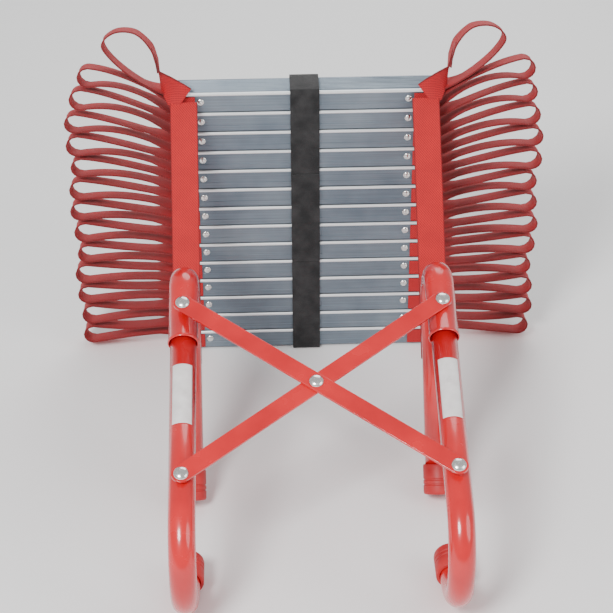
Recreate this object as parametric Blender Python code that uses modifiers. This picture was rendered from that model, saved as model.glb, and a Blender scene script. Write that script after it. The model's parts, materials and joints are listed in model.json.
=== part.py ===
"""Escape rope ladder, stowed: a stack of rungs on two webbings, with two sill hooks and a folding brace.

Frame: metres, +Z up, +X to the right, the hooks towards -Y. The origin is on the ground, under the
middle of the object's box. The ladder stands on its bottom rung, the feet of the hooks' struts and
the bent ends of the hooks.
"""
import math

import bmesh
import bpy
from mathutils import Matrix, Vector

# --- driving sizes ---------------------------------------------------------------------------
RUNG_COUNT = 14
RUNG_LENGTH = 0.300
RUNG_DEPTH = 0.036
RUNG_HEIGHT = 0.0252
RUNG_WALL = 0.0016
RUNG_TOP_WALL = 0.0020
NOSE_REACH = 0.0020          # the tread stands this far out over the rung's face
NOSE_DROP = 0.0040
RUNG_GAP = 0.0003
PIN_SPACING = 0.242          # between the two pins of a rung
PIN_RADIUS = 0.0030
PIN_HEAD_RADIUS = 0.0042
PIN_HEAD_HEIGHT = 0.0014

WEB_WIDTH = 0.032
WEB_THICKNESS = 0.0018
WEB_PIN_OFFSET = 0.0050      # from a pin's centre to the middle of the webbing round it
LOOP_REACH = 0.1178           # from a rung's end to the middle of a loop's round end
LOOP_END_RADIUS = 0.0127
LOOP_WAIST = 0.0026          # how much each half of a loop narrows half way out
LOOP_RISE_TOP = 0.042
LOOP_RISE_BOTTOM = -0.0085
LOOP_SHORT_TOP = 0.016       # the highest loops reach less far
LOOP_LEAN = math.radians(16)    # the loops lean back, so their back edges hang lower

TUBE_SPACING = 0.280         # between the middles of the two hooks
TUBE_SLOPE = math.radians(20.0)
STRUT_SLOPE = math.radians(53.0)
SLEEVE_RADIUS = 0.0160
SLEEVE_WALL = 0.0015
INNER_RADIUS = 0.0140
INNER_WALL = 0.0015
SLEEVE_BELOW_RIVET = 0.039
SLEEVE_ABOVE_RIVET = 0.030   # straight part, up to the tight bend
TIGHT_BEND_RADIUS = 0.032
HOOK_BEND_RADIUS = 0.060
RIVET_TO_BEND = 0.034
HOOK_END_STRAIGHT = 0.034
INNER_END_ABOVE_RIVET = 0.006
STACK_TO_BEND = 0.462        # from the stack's face to the middle of the hooks' bends

CAP_GAP = 0.0003
CAP_WALL = 0.0022
CAP_FLOOR = 0.0045
CAP_LENGTH = 0.034
HOOK_CAP_WALL = 0.0037

ARM_RIVET_RUN = 0.212        # along the tubes, from the upper rivets to the lower ones
ARM_WIDTH = 0.020
ARM_THICKNESS = 0.0030
ARM_GAP = 0.0004
STUD_RADIUS = 0.0034
STUD_HOLE_GAP = 0.00035
STUD_SHOULDER_RADIUS = 0.0062
STUD_HEAD_RADIUS = 0.0078
STUD_HEAD_HEIGHT = 0.0036
TOUCH_GAP = 0.0003

STRAP_FRONT = 0.0085         # the hook strap's top lies this far in front of the rungs
STRAP_TOP_DROP = 0.0080      # and this far below the top of the stack
STRAP_MEETS_STRUT = 0.010    # below the end of the tight bend
STRAP_END_LENGTH = 0.048     # along the back of the strut
STRAP_RIVET_FROM_END = 0.018
STRAP_SPLIT = 0.0035

BAND_WIDTH = 0.034
BAND_THICKNESS = 0.0022
BAND_CLEAR = 0.0012

TUBE_BEVEL_RESOLUTION = 4
TURN_STEPS = 16
CAP_STEPS = 24                 # flats close to the round, so that the cup clears its tube all round
PIN_STEPS = 8

RED_PAINT = (0.72, 0.025, 0.022, 1.0)
RED_WEB = (0.60, 0.020, 0.028, 1.0)
ALUMINIUM = (0.40, 0.46, 0.52, 1.0)
STEEL = (0.80, 0.78, 0.76, 1.0)
RED_RUBBER = (0.50, 0.018, 0.020, 1.0)
BLACK_BAND = (0.012, 0.012, 0.014, 1.0)

# --- what follows from them --------------------------------------------------------------------
PITCH = RUNG_HEIGHT + RUNG_GAP
STACK_BASE = BAND_THICKNESS + RUNG_GAP           # the stack stands on the band's bottom run
STACK_TOP = STACK_BASE + RUNG_COUNT * PITCH - RUNG_GAP
PIN_HEIGHT = (RUNG_WALL + RUNG_HEIGHT - RUNG_TOP_WALL) / 2
FRONT_REACH = STACK_TO_BEND + HOOK_BEND_RADIUS + INNER_RADIUS
BACK_REACH = RUNG_DEPTH + BAND_CLEAR + BAND_THICKNESS
FACE_Y = (FRONT_REACH - BACK_REACH) / 2          # the stack's face
HOOK_X = TUBE_SPACING / 2
HOOK_CAP_RADIUS = INNER_RADIUS + CAP_GAP + HOOK_CAP_WALL

DOWN_TUBE = Vector((0.0, -math.cos(TUBE_SLOPE), -math.sin(TUBE_SLOPE)))
OUT_OF_TUBE = Vector((0.0, -math.sin(TUBE_SLOPE), math.cos(TUBE_SLOPE)))
DOWN_STRUT = Vector((0.0, -math.cos(STRUT_SLOPE), -math.sin(STRUT_SLOPE)))
BACK_OF_STRUT = Vector((0.0, math.sin(STRUT_SLOPE), -math.cos(STRUT_SLOPE)))

# points of the hook's centre line, in the plane of one hook (x = 0)
BEND_MIDDLE = Vector((0.0, FACE_Y - STACK_TO_BEND, HOOK_CAP_RADIUS + HOOK_BEND_RADIUS))
BEND_START = BEND_MIDDLE + OUT_OF_TUBE * HOOK_BEND_RADIUS
LOWER_RIVET = BEND_START - DOWN_TUBE * RIVET_TO_BEND
UPPER_RIVET = LOWER_RIVET - DOWN_TUBE * ARM_RIVET_RUN
TIGHT_START = UPPER_RIVET - DOWN_TUBE * SLEEVE_ABOVE_RIVET
TIGHT_MIDDLE = TIGHT_START - OUT_OF_TUBE * TIGHT_BEND_RADIUS
TIGHT_END = TIGHT_MIDDLE + BACK_OF_STRUT * TIGHT_BEND_RADIUS
FOOT_RADIUS = SLEEVE_RADIUS + CAP_GAP + CAP_WALL
FOOT_END_HEIGHT = FOOT_RADIUS * math.cos(STRUT_SLOPE)      # the foot's low edge is on the ground
STRUT_LENGTH = (TIGHT_END.z - FOOT_END_HEIGHT) / math.sin(STRUT_SLOPE)
FOOT_END = TIGHT_END + DOWN_STRUT * STRUT_LENGTH

# layers of the brace, measured outwards from the tubes' centre lines
ARM_A_LAYER = SLEEVE_RADIUS + ARM_GAP
ARM_B_LAYER = ARM_A_LAYER + ARM_THICKNESS + ARM_GAP
BRACE_ANGLE = math.atan2(ARM_RIVET_RUN, TUBE_SPACING)
ARM_LENGTH = math.hypot(ARM_RIVET_RUN, TUBE_SPACING)


# --- scene and helpers ---------------------------------------------------------------------------
def clear_scene():
    for thing in list(bpy.data.objects):
        bpy.data.objects.remove(thing, do_unlink=True)
    for group in list(bpy.data.collections):
        bpy.data.collections.remove(group)


clear_scene()
LADDER = bpy.data.collections.new("escape_rope_ladder")
GUIDES = bpy.data.collections.new("cutters_and_guides")
bpy.context.scene.collection.children.link(LADDER)
bpy.context.scene.collection.children.link(GUIDES)


def principled(name, colour, roughness, metallic=0.0):
    material = bpy.data.materials.new(name)
    material.use_nodes = True
    shader = material.node_tree.nodes["Principled BSDF"]
    shader.inputs["Base Color"].default_value = colour
    shader.inputs["Roughness"].default_value = roughness
    shader.inputs["Metallic"].default_value = metallic
    material.diffuse_color = colour
    return material


def add(name, data, material, collection=None):
    piece = bpy.data.objects.new(name, data)
    (collection or LADDER).objects.link(piece)
    if material is not None and not data.materials:
        data.materials.append(material)
    return piece


def mesh_from(curve_object):
    """The curve as a plain welded mesh in world space; the curve itself is removed."""
    bpy.context.view_layer.update()
    evaluated = curve_object.evaluated_get(bpy.context.evaluated_depsgraph_get())
    mesh = bpy.data.meshes.new_from_object(evaluated)
    mesh.transform(curve_object.matrix_world)
    bpy.data.objects.remove(curve_object, do_unlink=True)
    work = bmesh.new()
    work.from_mesh(mesh)
    bmesh.ops.remove_doubles(work, verts=work.verts, dist=0.00001)
    bmesh.ops.recalc_face_normals(work, faces=work.faces)
    work.to_mesh(mesh)
    work.free()
    return mesh


def smooth(mesh, angle=35.0):
    mesh.shade_smooth()
    mesh.set_sharp_from_angle(angle=math.radians(angle))


def tube(name, points, radius, wall, material):
    """An open tube along the points: a bare curve skin, given its wall inwards."""
    curve = bpy.data.curves.new(name + "_route", "CURVE")
    curve.dimensions = "3D"
    curve.bevel_depth = radius
    curve.bevel_resolution = TUBE_BEVEL_RESOLUTION
    curve.use_fill_caps = False
    spline = curve.splines.new("POLY")
    spline.points.add(len(points) - 1)
    for slot, point in zip(spline.points, points):
        slot.co = (*point, 1.0)
    mesh = mesh_from(add(name + "_route", curve, None, GUIDES))
    mesh.materials.clear()
    smooth(mesh)
    piece = add(name, mesh, material)
    shell = piece.modifiers.new("wall", "SOLIDIFY")
    shell.thickness = wall
    shell.offset = -1.0
    shell.use_even_offset = True
    return piece


def plate(name, outlines, thickness, material):
    """A flat plate with round holes, in its own XY plane and centred on it."""
    curve = bpy.data.curves.new(name + "_outline", "CURVE")
    curve.dimensions = "2D"
    curve.fill_mode = "BOTH"
    curve.extrude = thickness / 2
    for outline in outlines:
        spline = curve.splines.new("POLY")
        spline.points.add(len(outline) - 1)
        for slot, (x, y) in zip(spline.points, outline):
            slot.co = (x, y, 0.0, 1.0)
        spline.use_cyclic_u = True
    mesh = mesh_from(add(name + "_outline", curve, None, GUIDES))
    mesh.materials.clear()
    smooth(mesh)
    return add(name, mesh, material)


def turned(name, profile, material, steps=TURN_STEPS):
    """A solid turned about its own Z from (radius, height) points, top to bottom, on the axis at both ends."""
    mesh = bpy.data.meshes.new(name)
    work = bmesh.new()
    corners = [work.verts.new((radius, 0.0, height)) for radius, height in profile]
    for first, second in zip(corners, corners[1:]):
        work.edges.new((first, second))
    work.to_mesh(mesh)
    work.free()
    piece = add(name, mesh, material)
    turn = piece.modifiers.new("turn", "SCREW")
    turn.steps = steps
    turn.render_steps = steps
    turn.use_merge_vertices = True
    turn.merge_threshold = 0.00001
    turn.use_smooth_shade = True
    return piece


def ribbon(name, stations, material):
    """Flat webbing: each station is the strip's middle and the direction across it."""
    mesh = bpy.data.meshes.new(name)
    work = bmesh.new()
    pairs = []
    for middle, across in stations:
        half = across.normalized() * WEB_WIDTH / 2
        pairs.append((work.verts.new(middle - half), work.verts.new(middle + half)))
    for (near_a, far_a), (near_b, far_b) in zip(pairs, pairs[1:]):
        work.faces.new((near_a, near_b, far_b, far_a))
    work.to_mesh(mesh)
    work.free()
    smooth(mesh)
    piece = add(name, mesh, material)
    cloth = piece.modifiers.new("thickness", "SOLIDIFY")
    cloth.thickness = WEB_THICKNESS
    cloth.offset = 0.0
    cloth.use_even_offset = True
    return piece


def arc(middle, radius, start, turn, steps):
    """Points on an arc about the X axis through middle; start is the direction of its first point."""
    return [middle + Matrix.Rotation(turn * step / steps, 3, "X") @ start * radius
            for step in range(steps + 1)]


def circle(x, y, radius, steps=24):
    return [(x + radius * math.cos(math.tau * step / steps), y + radius * math.sin(math.tau * step / steps))
            for step in range(steps)]


def through(points, steps):
    """A smooth curve through the points, with the given number of steps between neighbours."""
    ends = [points[0] * 2 - points[1], *points, points[-1] * 2 - points[-2]]
    smooth_points = []
    for before, here, after, beyond in zip(ends, ends[1:], ends[2:], ends[3:]):
        for step in range(steps):
            t = step / steps
            smooth_points.append(0.5 * (2 * here + (after - before) * t
                                        + (2 * before - 5 * here + 4 * after - beyond) * t * t
                                        + (3 * here - before - 3 * after + beyond) * t ** 3))
    smooth_points.append(points[-1])
    return smooth_points


def stand_on_tube(piece, point):
    """Turn a piece so its own Z points out of the tubes, its own X across the ladder."""
    piece.matrix_world = Matrix.Translation(point) @ Matrix.Rotation(TUBE_SLOPE, 4, "X")


# --- rungs: hollow extrusions, each with its two pins swaged in ----------------------------------
def rung_mesh(material):
    outer = [(0.0, 0.0), (RUNG_DEPTH, 0.0), (RUNG_DEPTH, RUNG_HEIGHT), (-NOSE_REACH, RUNG_HEIGHT),
             (-NOSE_REACH, RUNG_HEIGHT - NOSE_DROP), (0.0, RUNG_HEIGHT - NOSE_DROP - NOSE_REACH / 2)]
    inner = [(RUNG_WALL, RUNG_WALL), (RUNG_DEPTH - RUNG_WALL, RUNG_WALL),
             (RUNG_DEPTH - RUNG_WALL, RUNG_HEIGHT - RUNG_TOP_WALL), (RUNG_WALL, RUNG_HEIGHT - RUNG_TOP_WALL)]
    body = plate("rung_body", [outer, inner], RUNG_LENGTH, material)
    for side in (-1, 1):
        pin = turned("rung_pin", [(0.0, PIN_HEAD_HEIGHT), (PIN_HEAD_RADIUS * 0.7, PIN_HEAD_HEIGHT * 0.8),
                                  (PIN_HEAD_RADIUS, -0.0002), (PIN_RADIUS, -0.0002),
                                  (PIN_RADIUS, -RUNG_DEPTH - 0.0006), (0.0, -RUNG_DEPTH - 0.0006)], material)
        pin.modifiers["turn"].steps = PIN_STEPS
        pin.modifiers["turn"].render_steps = PIN_STEPS
        # the plate's own X is the rung's depth, Y its height and Z its length
        pin.matrix_world = (Matrix.Translation((0.0, PIN_HEIGHT, side * PIN_SPACING / 2))
                            @ Matrix.Rotation(-math.pi / 2, 4, "Y"))
        swage = body.modifiers.new("pin", "BOOLEAN")
        swage.operation = "UNION"
        swage.object = pin
        LADDER.objects.unlink(pin)
        GUIDES.objects.link(pin)
        pin.hide_render = True
        pin.display_type = "WIRE"
    bpy.context.view_layer.update()
    mesh = bpy.data.meshes.new_from_object(body.evaluated_get(bpy.context.evaluated_depsgraph_get()))
    for thing in (body, *[piece for piece in GUIDES.objects if piece.name.startswith("rung_pin")]):
        bpy.data.objects.remove(thing, do_unlink=True)
    # own (depth, height, length) become world (Y, Z, X)
    mesh.transform(Matrix(((0, 0, 1, 0), (1, 0, 0, 0), (0, 1, 0, 0), (0, 0, 0, 1))))
    mesh.name = "rung"
    return mesh


def make_rungs():
    material = principled("anodised_aluminium", ALUMINIUM, 0.38, 0.85)
    mesh = rung_mesh(material)
    for index in range(RUNG_COUNT):
        rung = add(f"rung_{index + 1:02d}", mesh, material)
        rung.location = (0.0, FACE_Y, STACK_BASE + (RUNG_COUNT - 1 - index) * PITCH)


# --- side webbing: one strip a side, round each rung's pin and out in a loop between rungs ---------
def pin_height(index):
    return STACK_BASE + (RUNG_COUNT - 1 - index) * PITCH + PIN_HEIGHT


def loop_points(index):
    """The strip's middle from rung index to the next one below, as (x, z) for the right side."""
    share = index / (RUNG_COUNT - 2)
    high = (pin_height(index) + pin_height(index + 1)) / 2
    rise = LOOP_RISE_TOP + (LOOP_RISE_BOTTOM - LOOP_RISE_TOP) * share
    reach = LOOP_REACH - LOOP_SHORT_TOP * max(0.0, 1 - index / 3) ** 2
    root = PITCH / 2 - WEB_PIN_OFFSET
    steps = 6
    upper = []
    lower = []
    for step in range(steps + 1):
        s = step / steps
        x = RUNG_LENGTH / 2 + 0.001 + (reach - 0.001) * s
        z = high + rise * math.sin(s * math.pi / 2)
        half = root + (LOOP_END_RADIUS - root) * s - LOOP_WAIST * math.sin(s * math.pi)
        upper.append((x, z + half))
        lower.append((x, z - half))
    tip = [(RUNG_LENGTH / 2 + reach + LOOP_END_RADIUS * math.sin(turn), high + rise
            + LOOP_END_RADIUS * math.cos(turn)) for turn in (math.pi / 4, math.pi / 2, 3 * math.pi / 4)]
    return upper + tip + lower[::-1]


def pin_turn(index):
    """Round the pin of one rung, from the strip's upper run to its lower one."""
    x = PIN_SPACING / 2
    z = pin_height(index)
    return [(x - WEB_PIN_OFFSET * math.sin(turn), z + WEB_PIN_OFFSET * math.cos(turn))
            for turn in (0.0, math.pi / 4, math.pi / 2, 3 * math.pi / 4, math.pi)]


def make_webbing(name, side, material):
    """side is -1 or 1; the strip runs from the hook strap, over the top loop and down the stack."""
    web_y = FACE_Y + RUNG_DEPTH / 2
    top = pin_height(0) + WEB_PIN_OFFSET
    end = RUNG_LENGTH / 2
    strap_y = FACE_Y - STRAP_FRONT
    stations = [(Vector((side * HOOK_X, strap_y, STACK_TOP - STRAP_TOP_DROP + STRAP_SPLIT)),
                 Vector((side, 0.0, 0.0))),
                (Vector((side * (HOOK_X + 0.008), strap_y + 0.002, STACK_TOP + 0.001)),
                 Vector((side, 0.30, 0.0))),
                (Vector((side * (HOOK_X + 0.019), strap_y + 0.012, STACK_TOP + 0.009)),
                 Vector((side * 0.75, 0.75, 0.0))),
                (Vector((side * (HOOK_X + 0.027), web_y - 0.006, STACK_TOP + 0.020)),
                 Vector((side * 0.25, 1.0, 0.0)))]
    rise = through([Vector((end + 0.020, 0.0, STACK_TOP + 0.034)), Vector((end + 0.026, 0.0, STACK_TOP + 0.052)),
                    Vector((end + 0.043, 0.0, STACK_TOP + 0.070)), Vector((end + 0.066, 0.0, STACK_TOP + 0.071)),
                    Vector((end + 0.080, 0.0, STACK_TOP + 0.056)), Vector((end + 0.066, 0.0, STACK_TOP + 0.032)),
                    Vector((end + 0.034, 0.0, STACK_TOP + 0.005)), Vector((end + 0.001, 0.0, top))], 3)
    route = [(point.x, point.z) for point in rise]
    for index in range(RUNG_COUNT):
        route += pin_turn(index)
        if index < RUNG_COUNT - 1:
            route += loop_points(index)
    route.append((PIN_SPACING / 2 + 0.016, pin_height(RUNG_COUNT - 1) - WEB_PIN_OFFSET))
    for x, z in route:
        lean = LOOP_LEAN * min(1.0, max(0.0, (x - end - 0.004) / 0.030))
        stations.append((Vector((side * x, web_y, z)), Vector((0.0, math.cos(lean), -math.sin(lean)))))
    return ribbon(name, stations, material)


# --- hook straps: from the stack's top corners to the backs of the struts --------------------------
def strap_route():
    """The strap's top, its points on the hook from first touch to end, and the free part's direction.
    A stack that stands high or near puts the strap on the bend first; otherwise it goes straight to the strut."""
    lift = SLEEVE_RADIUS + TOUCH_GAP + WEB_THICKNESS / 2
    top = Vector((0.0, FACE_Y - STRAP_FRONT, STACK_TOP - STRAP_TOP_DROP))
    meet = TIGHT_END + BACK_OF_STRUT * lift + DOWN_STRUT * STRAP_MEETS_STRUT
    on_hook = [meet, meet + DOWN_STRUT * STRAP_END_LENGTH]
    if (top - TIGHT_END).dot(BACK_OF_STRUT) < lift:
        radius = TIGHT_BEND_RADIUS + lift
        from_middle = top - TIGHT_MIDDLE
        swing = math.acos(radius / from_middle.length)
        touch = Matrix.Rotation(-swing, 3, "X") @ from_middle.normalized()
        turn = touch.angle(BACK_OF_STRUT)
        on_hook = arc(TIGHT_MIDDLE, radius, touch, -turn, math.ceil(math.degrees(turn) / 5)) + on_hook
    return top, on_hook, (on_hook[0] - top).normalized()


def at_hook(point, side):
    return Vector((side * HOOK_X, point.y, point.z))


def make_hook_straps(material):
    top, on_hook, along = strap_route()
    across = Vector((1.0, 0.0, 0.0))
    ribbon("hook_strap_left", [(at_hook(point, -1), across) for point in (top, *on_hook)], material)
    free_end = on_hook[0] - along * STRAP_SPLIT
    ribbon("hook_strap_right", [(at_hook(point, 1), across) for point in (top, free_end)], material)
    ribbon("strap_end_right", [(at_hook(point, 1), across) for point in on_hook], material)


def make_strap_rivets(material):
    end = strap_route()[1][-1]
    face = WEB_THICKNESS / 2 + TOUCH_GAP
    for side, word in ((-1, "left"), (1, "right")):
        rivet = turned("strap_rivet_" + word,
                       [(0.0, 0.0026), (0.0040, 0.0020), (0.0070, 0.0008), (0.0078, 0.0), (0.0, 0.0)], material)
        place = end - DOWN_STRUT * STRAP_RIVET_FROM_END + BACK_OF_STRUT * face
        rivet.matrix_world = (Matrix.Translation(at_hook(place, side))
                              @ BACK_OF_STRUT.to_track_quat("Z", "X").to_matrix().to_4x4())


# --- hooks: a sleeve bent back into its strut, and an inner tube that slides in it ------------------
def make_hooks():
    paint = principled("red_gloss_paint", RED_PAINT, 0.22)
    rubber = principled("red_rubber", RED_RUBBER, 0.55)
    tight_turn = -(math.pi - (STRUT_SLOPE - TUBE_SLOPE))
    hook_turn = math.pi - TUBE_SLOPE
    sleeve = [UPPER_RIVET + DOWN_TUBE * SLEEVE_BELOW_RIVET]
    sleeve += arc(TIGHT_MIDDLE, TIGHT_BEND_RADIUS, OUT_OF_TUBE, tight_turn, 9)
    sleeve.append(FOOT_END - DOWN_STRUT * CAP_FLOOR)
    bent = [UPPER_RIVET - DOWN_TUBE * INNER_END_ABOVE_RIVET]
    bent += arc(BEND_MIDDLE, HOOK_BEND_RADIUS, OUT_OF_TUBE, hook_turn, 10)
    cap_end = bent[-1] + Vector((0.0, HOOK_END_STRAIGHT, 0.0))
    bent.append(cap_end)
    for side, word in ((-1, "left"), (1, "right")):
        tube("hook_sleeve_" + word, [at_hook(point, side) for point in sleeve], SLEEVE_RADIUS, SLEEVE_WALL, paint)
        tube("hook_inner_tube_" + word, [at_hook(point, side) for point in bent], INNER_RADIUS, INNER_WALL, paint)
        foot = cap("strut_foot_" + word, SLEEVE_RADIUS, CAP_WALL, rubber)
        foot.matrix_world = (Matrix.Translation(at_hook(FOOT_END, side))
                             @ DOWN_STRUT.to_track_quat("Z", "X").to_matrix().to_4x4())
        tip = cap("hook_end_cap_" + word, INNER_RADIUS, HOOK_CAP_WALL, rubber)
        tip.matrix_world = (Matrix.Translation(at_hook(cap_end, side) + Vector((0.0, CAP_FLOOR, 0.0)))
                            @ Matrix.Rotation(-math.pi / 2, 4, "X"))


def cap(name, tube_radius, wall, material):
    """A cup over a tube's end; its own Z points out of the tube and its closed face is at z = 0."""
    inside = tube_radius + CAP_GAP
    outside = inside + wall
    floor = -CAP_FLOOR + TOUCH_GAP
    return turned(name, [(0.0, 0.0), (outside - 0.002, 0.0), (outside, -0.002), (outside, -CAP_LENGTH),
                         (inside, -CAP_LENGTH), (inside, floor), (0.0, floor)], material, CAP_STEPS)


# --- brace: two crossed arms and their five rivets ---------------------------------------------------
def arm_outline():
    half = ARM_LENGTH / 2
    steps = 10
    outline = []
    for centre, start in ((half, -math.pi / 2), (-half, math.pi / 2)):
        outline += [(centre + ARM_WIDTH / 2 * math.cos(start + math.pi * step / steps),
                     ARM_WIDTH / 2 * math.sin(start + math.pi * step / steps)) for step in range(steps + 1)]
    holes = [circle(x, 0.0, STUD_RADIUS + STUD_HOLE_GAP, 16) for x in (-half, 0.0, half)]
    return [outline, *holes]


def stud(name, point, foot, under, over, material):
    """A shouldered rivet. foot, under and over are heights above the tubes' centre lines:
    the rivet's bottom, the arm's underside and its outer face."""
    piece = turned(name, [(0.0, over + TOUCH_GAP + STUD_HEAD_HEIGHT),
                          (STUD_HEAD_RADIUS * 0.50, over + TOUCH_GAP + STUD_HEAD_HEIGHT * 0.87),
                          (STUD_HEAD_RADIUS * 0.87, over + TOUCH_GAP + STUD_HEAD_HEIGHT * 0.50),
                          (STUD_HEAD_RADIUS, over + TOUCH_GAP),
                          (STUD_RADIUS, over + TOUCH_GAP),
                          (STUD_RADIUS, under - TOUCH_GAP),
                          (STUD_SHOULDER_RADIUS, under - TOUCH_GAP),
                          (STUD_SHOULDER_RADIUS, foot),
                          (0.0, foot)], material)
    stand_on_tube(piece, point)


def make_brace():
    paint = principled("red_arm_paint", RED_PAINT, 0.25)
    steel = principled("bright_steel", STEEL, 0.2, 1.0)
    middle = (UPPER_RIVET + LOWER_RIVET) / 2
    for name, layer, turn in (("brace_arm_a", ARM_A_LAYER, BRACE_ANGLE), ("brace_arm_b", ARM_B_LAYER, -BRACE_ANGLE)):
        arm = plate(name, arm_outline(), ARM_THICKNESS, paint)
        stand_on_tube(arm, middle + OUT_OF_TUBE * (layer + ARM_THICKNESS / 2))
        arm.matrix_world = arm.matrix_world @ Matrix.Rotation(turn, 4, "Z")
    a_top = ARM_A_LAYER + ARM_THICKNESS
    b_top = ARM_B_LAYER + ARM_THICKNESS
    on_sleeve = SLEEVE_RADIUS + TOUCH_GAP
    on_inner = INNER_RADIUS + TOUCH_GAP
    # where arm A lies straight on a sleeve there is no room for a shoulder, only for the rivet's shank
    stud("brace_rivet_upper_left", at_hook(UPPER_RIVET, -1), on_sleeve, ARM_B_LAYER, b_top, steel)
    shank_only("brace_rivet_upper_right", at_hook(UPPER_RIVET, 1), on_sleeve, a_top, steel)
    stud("brace_rivet_lower_left", at_hook(LOWER_RIVET, -1), on_inner, ARM_A_LAYER, a_top, steel)
    stud("brace_rivet_lower_right", at_hook(LOWER_RIVET, 1), on_inner, ARM_B_LAYER, b_top, steel)
    stud("brace_rivet_middle", middle, ARM_A_LAYER - 0.0022, ARM_A_LAYER, b_top, steel)
    return steel


def shank_only(name, point, foot, over, material):
    piece = turned(name, [(0.0, over + TOUCH_GAP + STUD_HEAD_HEIGHT),
                          (STUD_HEAD_RADIUS * 0.50, over + TOUCH_GAP + STUD_HEAD_HEIGHT * 0.87),
                          (STUD_HEAD_RADIUS * 0.87, over + TOUCH_GAP + STUD_HEAD_HEIGHT * 0.50),
                          (STUD_HEAD_RADIUS, over + TOUCH_GAP),
                          (STUD_RADIUS, over + TOUCH_GAP),
                          (STUD_RADIUS, foot), (0.0, foot)], material)
    stand_on_tube(piece, point)


# --- hook-and-loop band round the stack ------------------------------------------------------------
def make_band():
    """A closed band round the stack, under its last rung too: two outlines, extruded across its width."""
    material = principled("black_band", BLACK_BAND, 0.9)
    front = -NOSE_REACH - BAND_CLEAR
    back = RUNG_DEPTH + BAND_CLEAR
    top = STACK_TOP + BAND_CLEAR
    t = BAND_THICKNESS
    inner = [(front, t), (back, t), (back, top), (front, top)]
    outer = [(front, 0.0), (back, 0.0), (back + t, t), (back + t, top), (back, top + t), (front, top + t),
             (front - t, top), (front - t, t)]
    band = plate("hook_and_loop_band", [outer, inner], BAND_WIDTH, material)
    band.matrix_world = Matrix(((0, 0, 1, 0), (1, 0, 0, FACE_Y), (0, 1, 0, 0), (0, 0, 0, 1)))


make_rungs()
WEB_MATERIAL = principled("red_webbing", RED_WEB, 0.8)
make_webbing("side_webbing_left", -1, WEB_MATERIAL)
make_webbing("side_webbing_right", 1, WEB_MATERIAL)
make_hook_straps(WEB_MATERIAL)
make_hooks()
make_strap_rivets(make_brace())
make_band()
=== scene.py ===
import json
import math

import bmesh
import bpy
from mathutils import Matrix, Vector


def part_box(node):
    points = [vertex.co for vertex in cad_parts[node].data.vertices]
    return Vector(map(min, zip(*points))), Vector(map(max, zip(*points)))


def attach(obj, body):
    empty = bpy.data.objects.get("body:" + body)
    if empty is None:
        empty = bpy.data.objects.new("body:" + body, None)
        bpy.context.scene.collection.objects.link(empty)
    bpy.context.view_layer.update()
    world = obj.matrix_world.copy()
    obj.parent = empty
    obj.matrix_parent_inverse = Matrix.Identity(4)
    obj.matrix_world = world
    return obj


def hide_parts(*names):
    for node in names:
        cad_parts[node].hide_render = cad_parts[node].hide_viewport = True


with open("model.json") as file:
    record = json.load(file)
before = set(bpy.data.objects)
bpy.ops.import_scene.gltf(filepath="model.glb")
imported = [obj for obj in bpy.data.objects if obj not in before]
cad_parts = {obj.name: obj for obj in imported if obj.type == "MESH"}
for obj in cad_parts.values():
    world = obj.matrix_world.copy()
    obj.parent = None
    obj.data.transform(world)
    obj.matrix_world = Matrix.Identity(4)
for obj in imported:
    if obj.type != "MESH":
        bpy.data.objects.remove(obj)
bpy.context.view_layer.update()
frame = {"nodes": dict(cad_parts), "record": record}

joints = {joint["name"]: joint for joint in frame["record"]["behaviour"]["joints"]}

# Camera: a long lens, under two metres in front of the stack and above it, looking down at the tread.
# It is turned a little to the right, and rolled by less than half a degree.
lens_mm = 107.4127
stack_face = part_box("rung_01")[0][1] + 0.002
camera_data = bpy.data.cameras.new("camera")
camera_data.sensor_width = 36.0
camera_data.lens = lens_mm
camera = bpy.data.objects.new("camera", camera_data)
bpy.context.scene.collection.objects.link(camera)
camera.matrix_world = (Matrix.Translation((-0.054, stack_face - 1.903, 1.3155))
                       @ Matrix.Rotation(math.radians(-1.64), 4, "Z")
                       @ Matrix.Rotation(math.radians(90 - 33.4), 4, "X")
                       @ Matrix.Rotation(math.radians(-0.38), 4, "Z"))
bpy.context.scene.camera = camera


# Studio: a pale floor, a large soft key from the upper left, a fill from the right and one from behind.
def studio_light(name, place, size, power, aim=(0.0, 0.0, 0.18)):
    light_data = bpy.data.lights.new(name, "AREA")
    light_data.shape = "DISK"
    light_data.size = size
    light_data.energy = power
    light = bpy.data.objects.new(name, light_data)
    bpy.context.scene.collection.objects.link(light)
    direction = Vector(aim) - Vector(place)
    light.matrix_world = Matrix.Translation(place) @ direction.to_track_quat("-Z", "Y").to_matrix().to_4x4()


studio_light("key", (-0.9, -1.6, 1.9), 0.8, 62.0)
studio_light("fill", (1.6, -0.9, 1.1), 1.2, 12.0)
studio_light("back", (0.3, 1.7, 1.5), 1.4, 16.0)

world = bpy.data.worlds.new("studio")
world.use_nodes = True
world.node_tree.nodes["Background"].inputs["Color"].default_value = (1.0, 1.0, 1.0, 1.0)
world.node_tree.nodes["Background"].inputs["Strength"].default_value = 0.62
bpy.context.scene.world = world

floor_mesh = bpy.data.meshes.new("floor")
floor_work = bmesh.new()
bmesh.ops.create_grid(floor_work, x_segments=1, y_segments=1, size=6.0,
                      matrix=Matrix.Translation((0.0, 0.0, -0.0004)))
floor_work.to_mesh(floor_mesh)
floor_work.free()
floor_paint = bpy.data.materials.new("pale_floor")
floor_paint.use_nodes = True
floor_paint.node_tree.nodes["Principled BSDF"].inputs["Base Color"].default_value = (0.93, 0.93, 0.93, 1.0)
floor_paint.node_tree.nodes["Principled BSDF"].inputs["Roughness"].default_value = 0.9
floor_mesh.materials.append(floor_paint)
floor = bpy.data.objects.new("floor", floor_mesh)
bpy.context.scene.collection.objects.link(floor)


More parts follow.
